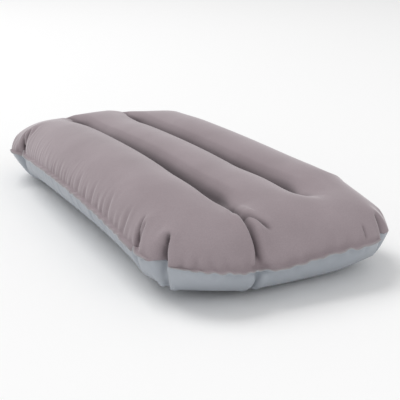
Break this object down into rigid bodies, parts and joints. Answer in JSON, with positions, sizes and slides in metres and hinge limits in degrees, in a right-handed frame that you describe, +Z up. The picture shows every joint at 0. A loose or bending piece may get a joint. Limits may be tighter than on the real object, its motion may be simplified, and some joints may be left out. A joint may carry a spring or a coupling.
{
  "type": "inflatable camp pillow",
  "caption": "Inflatable camp pillow: flocked top and smooth bottom sheets welded round a narrow rim, inner bands making long lengthwise chambers, push-in air valve with plug.",
  "frame": {"origin": "on the floor, under the middle of the pillow's box", "axes": "+X along the pillow, away from the valve; +Y across it; +Z up through the flocked top"},
  "size_m": [0.5019, 0.2414, 0.084],
  "materials": {
    "flock": "short velvet flock, mauve grey",
    "film": "smooth soft vinyl, satin, blue grey",
    "band": "thin clear grey vinyl film",
    "valve": "moulded soft vinyl, satin",
    "plug": "moulded soft vinyl, satin"
  },
  "bodies": {
    "pillow": {"top_sheet": "flock", "bottom_sheet": "film", "front_band": "band", "rear_band": "band", "valve_base": "valve"},
    "stem": {"valve_stem": "valve"},
    "flap": {"valve_flap": "band"},
    "plug": {"valve_plug": "plug", "plug_strap": "plug"}
  },
  "joints": [
    {"name": "stem_slide", "type": "slide", "parent": "pillow", "child": "stem", "axis": [-0.9397, 0, -0.342], "range_m": [0, 0.008]},
    {"name": "plug_hinge", "type": "hinge", "parent": "stem", "child": "plug", "pos_m": [-0.25053, 0, 0.02482], "axis": [0, 1, 0], "range_deg": [0, 120]},
    {"name": "flap_hinge", "type": "hinge", "parent": "stem", "child": "flap", "pos_m": [-0.22902, 0, 0.02988], "axis": [0, -1, 0], "range_deg": [0, 35]}
  ]
}
